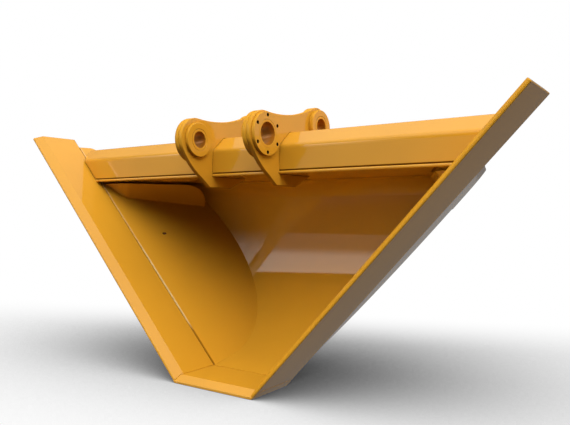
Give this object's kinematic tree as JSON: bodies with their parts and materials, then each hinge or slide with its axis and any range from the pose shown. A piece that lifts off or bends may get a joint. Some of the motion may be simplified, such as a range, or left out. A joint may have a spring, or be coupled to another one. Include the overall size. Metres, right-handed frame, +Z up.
{
  "type": "trapezoidal ditch bucket",
  "caption": "Welded excavator ditch bucket with a trapezoidal mouth, rolled back, torque beam, bevelled cutting edges and pin-on hinge plates.",
  "frame": {"origin": "middle of the footprint, on the ground under the cutting edge", "axes": "+X across the bucket to its right, +Y back from the cutting edge, +Z up"},
  "size_m": [2.4, 0.79, 1.159],
  "materials": {
    "yellow_paint": "gloss",
    "edge_paint": "gloss",
    "bush_steel": "satin",
    "weld_paint": "gloss"
  },
  "bodies": {
    "root": {"beam_weld": "weld_paint", "bottom_cutting_edge": "edge_paint", "corner_doubler_left": "yellow_paint", "corner_doubler_right": "yellow_paint", "corner_gusset_left": "yellow_paint", "corner_gusset_right": "yellow_paint", "cutter_weld_left": "weld_paint", "cutter_weld_right": "weld_paint", "hinge_plate_left": "yellow_paint", "hinge_plate_right": "yellow_paint", "hinge_plate_welds": "weld_paint", "link_pin_bush_left": "bush_steel", "link_pin_bush_right": "bush_steel", "link_pin_pad_left": "yellow_paint", "link_pin_pad_right": "yellow_paint", "link_pin_ring_left": "yellow_paint", "link_pin_ring_right": "yellow_paint", "lip_weld": "weld_paint", "side_cutter_left": "edge_paint", "side_cutter_right": "edge_paint", "side_plate_left": "yellow_paint", "side_plate_right": "yellow_paint", "stick_pin_bush_left": "bush_steel", "stick_pin_bush_right": "bush_steel", "stick_pin_pad_left": "yellow_paint", "stick_pin_pad_right": "yellow_paint", "stick_pin_ring_left": "yellow_paint", "stick_pin_ring_right": "yellow_paint", "torque_beam_cover": "yellow_paint", "wrapper_shell": "yellow_paint"}
  },
  "joints": []
}
